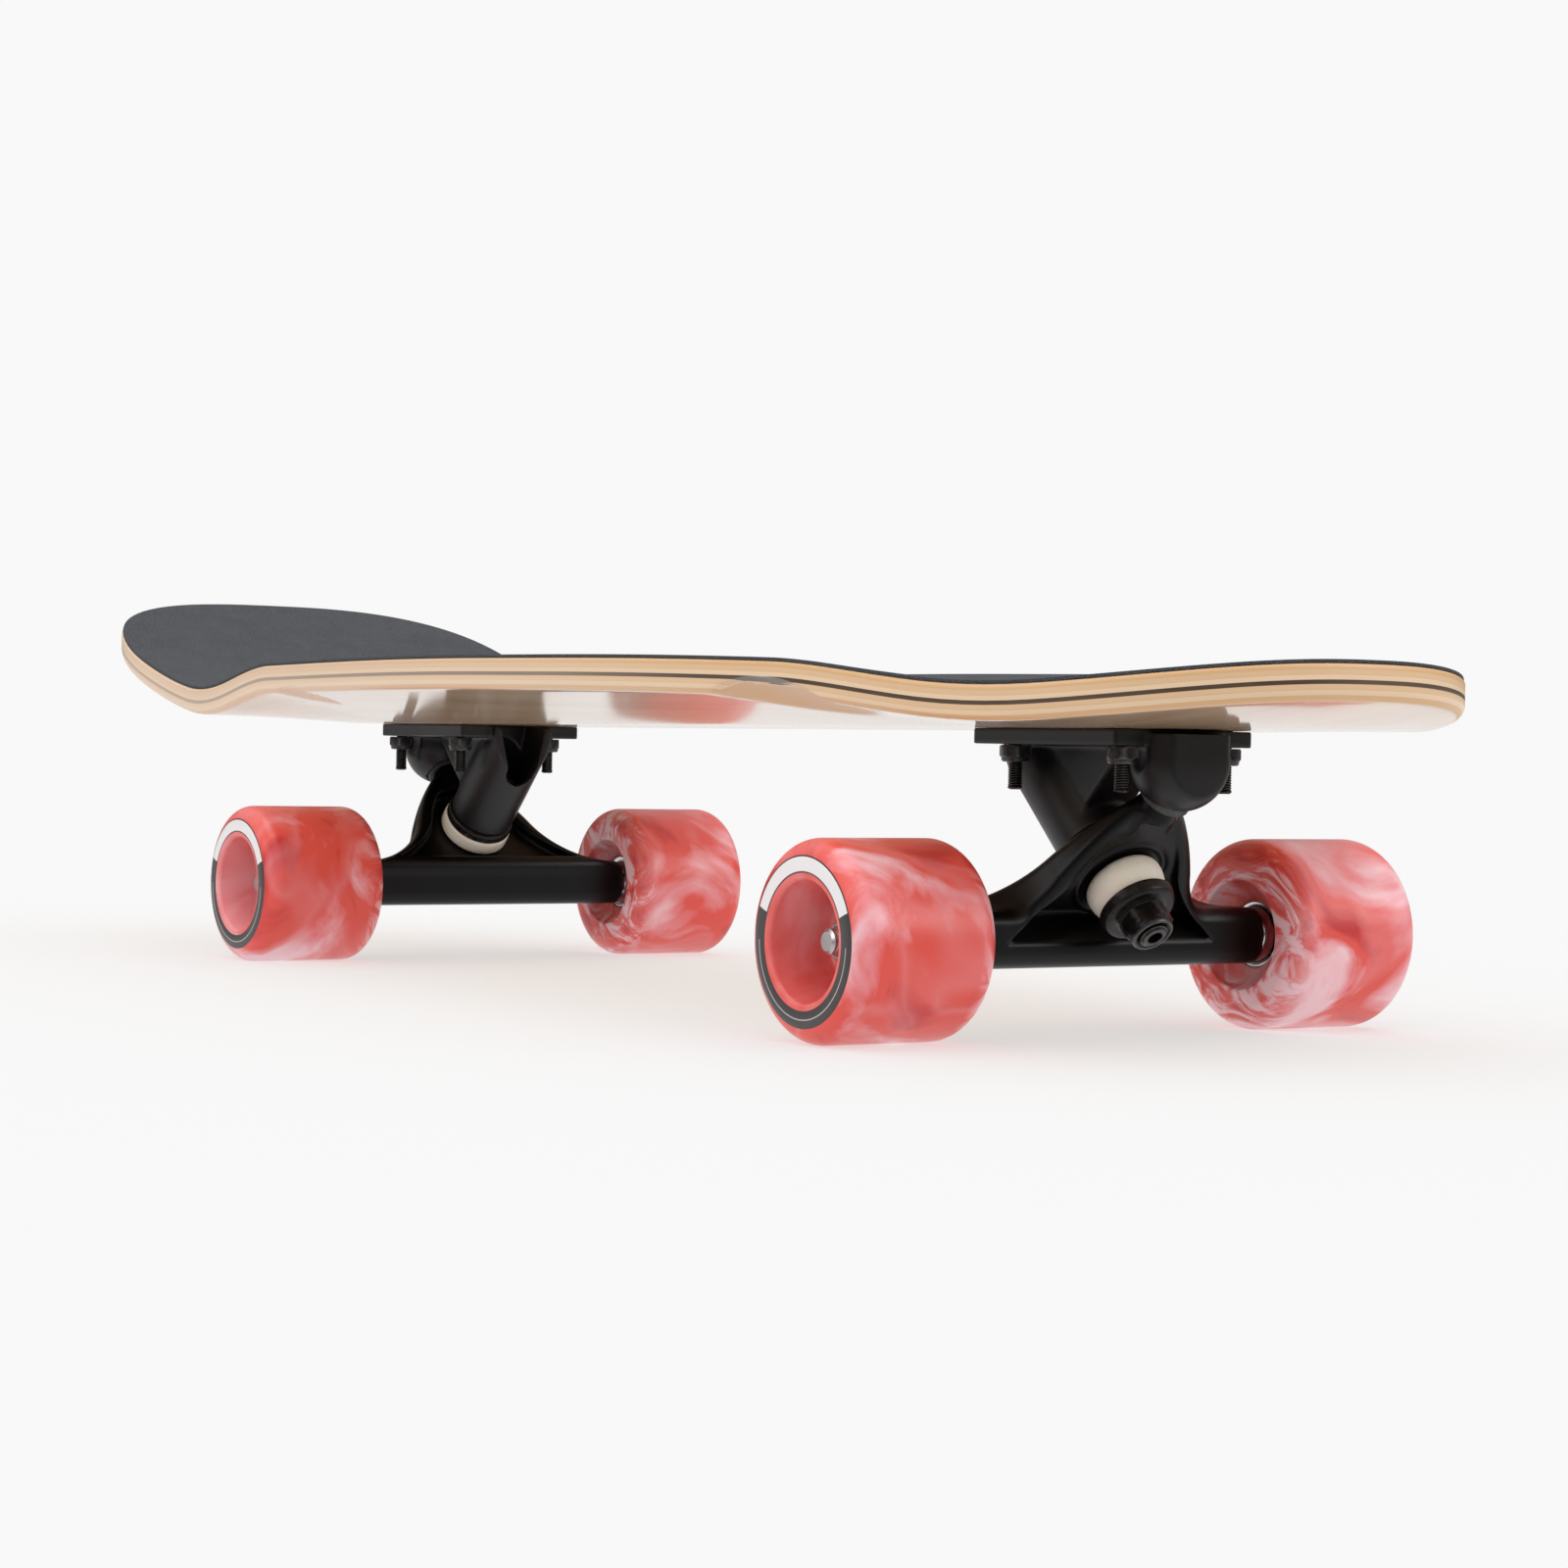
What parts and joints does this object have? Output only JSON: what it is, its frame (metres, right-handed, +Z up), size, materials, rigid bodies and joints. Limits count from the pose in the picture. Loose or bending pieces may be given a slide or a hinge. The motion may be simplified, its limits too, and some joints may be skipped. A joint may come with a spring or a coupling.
{
  "type": "cruiser skateboard",
  "caption": "Kicktail cruiser skateboard: a pressed maple deck with grip on two kingpin trucks that lean to steer, with soft marbled wheels on ball bearings.",
  "frame": {"origin": "on the ground, on the centreline, halfway along the deck", "axes": "+X towards the nose, +Y to the rider's left when facing the nose, +Z up"},
  "size_m": [0.76, 0.234, 0.1544],
  "materials": {
    "maple": "satin lacquer over seven-ply maple",
    "grip": "coarse grit sheet",
    "black_casting": "satin black powder coat on cast aluminium",
    "black_plastic": "moulded plastic",
    "black_steel": "blackened steel",
    "bushing": "ivory cast polyurethane",
    "bright_steel": "plain steel",
    "bearing_steel": "ground steel rings with a red seal",
    "urethane": "satin cast polyurethane, red and pink marbled"
  },
  "bodies": {
    "board": {"deck": "maple", "grip_tape": "grip", "front_baseplate": "black_casting", "front_pivot_cup": "black_plastic", "front_kingpin": "black_steel", "front_kingpin_nut": "black_steel", "front_bushing_upper": "bushing", "front_bushing_lower": "bushing", "front_washer_upper": "black_steel", "front_washer_lower": "black_steel", "front_bolt_outer_right": "black_steel", "front_locknut_outer_right": "black_steel", "front_bolt_outer_left": "black_steel", "front_locknut_outer_left": "black_steel", "front_bolt_inner_right": "black_steel", "front_locknut_inner_right": "black_steel", "front_bolt_inner_left": "black_steel", "front_locknut_inner_left": "black_steel", "rear_baseplate": "black_casting", "rear_pivot_cup": "black_plastic", "rear_kingpin": "black_steel", "rear_kingpin_nut": "black_steel", "rear_bushing_upper": "bushing", "rear_bushing_lower": "bushing", "rear_washer_upper": "black_steel", "rear_washer_lower": "black_steel", "rear_bolt_outer_right": "black_steel", "rear_locknut_outer_right": "black_steel", "rear_bolt_outer_left": "black_steel", "rear_locknut_outer_left": "black_steel", "rear_bolt_inner_right": "black_steel", "rear_locknut_inner_right": "black_steel", "rear_bolt_inner_left": "black_steel", "rear_locknut_inner_left": "black_steel"},
    "front_hanger": {"front_hanger": "black_casting", "front_axle": "bright_steel", "front_left_axle_nut": "bright_steel", "front_right_axle_nut": "bright_steel"},
    "front_left_wheel": {"front_left_wheel": "urethane", "front_left_bearing_inner": "bearing_steel", "front_left_bearing_outer": "bearing_steel"},
    "front_right_wheel": {"front_right_wheel": "urethane", "front_right_bearing_inner": "bearing_steel", "front_right_bearing_outer": "bearing_steel"},
    "rear_hanger": {"rear_hanger": "black_casting", "rear_axle": "bright_steel", "rear_left_axle_nut": "bright_steel", "rear_right_axle_nut": "bright_steel"},
    "rear_left_wheel": {"rear_left_wheel": "urethane", "rear_left_bearing_inner": "bearing_steel", "rear_left_bearing_outer": "bearing_steel"},
    "rear_right_wheel": {"rear_right_wheel": "urethane", "rear_right_bearing_inner": "bearing_steel", "rear_right_bearing_outer": "bearing_steel"}
  },
  "joints": [
    {"name": "front_steer", "type": "hinge", "parent": "board", "child": "front_hanger", "pos_m": [0.2624, 0, 0.0533], "axis": [0.7071, 0, 0.7071], "range_deg": [-16, 16], "stiffness_Nm_per_rad": 60, "deforming": ["front_bushing_upper", "front_bushing_lower"]},
    {"name": "front_left_wheel_spin", "type": "hinge", "parent": "front_hanger", "child": "front_left_wheel", "pos_m": [0.2529, 0.0861, 0.0315], "axis": [0, 1, 0], "continuous": true},
    {"name": "front_right_wheel_spin", "type": "hinge", "parent": "front_hanger", "child": "front_right_wheel", "pos_m": [0.2529, -0.0861, 0.0315], "axis": [0, 1, 0], "continuous": true},
    {"name": "rear_steer", "type": "hinge", "parent": "board", "child": "rear_hanger", "pos_m": [-0.1714, 0, 0.0533], "axis": [-0.7071, 0, 0.7071], "range_deg": [-16, 16], "stiffness_Nm_per_rad": 60, "deforming": ["rear_bushing_upper", "rear_bushing_lower"]},
    {"name": "rear_left_wheel_spin", "type": "hinge", "parent": "rear_hanger", "child": "rear_left_wheel", "pos_m": [-0.1619, 0.0861, 0.0315], "axis": [0, 1, 0], "continuous": true},
    {"name": "rear_right_wheel_spin", "type": "hinge", "parent": "rear_hanger", "child": "rear_right_wheel", "pos_m": [-0.1619, -0.0861, 0.0315], "axis": [0, 1, 0], "continuous": true}
  ]
}
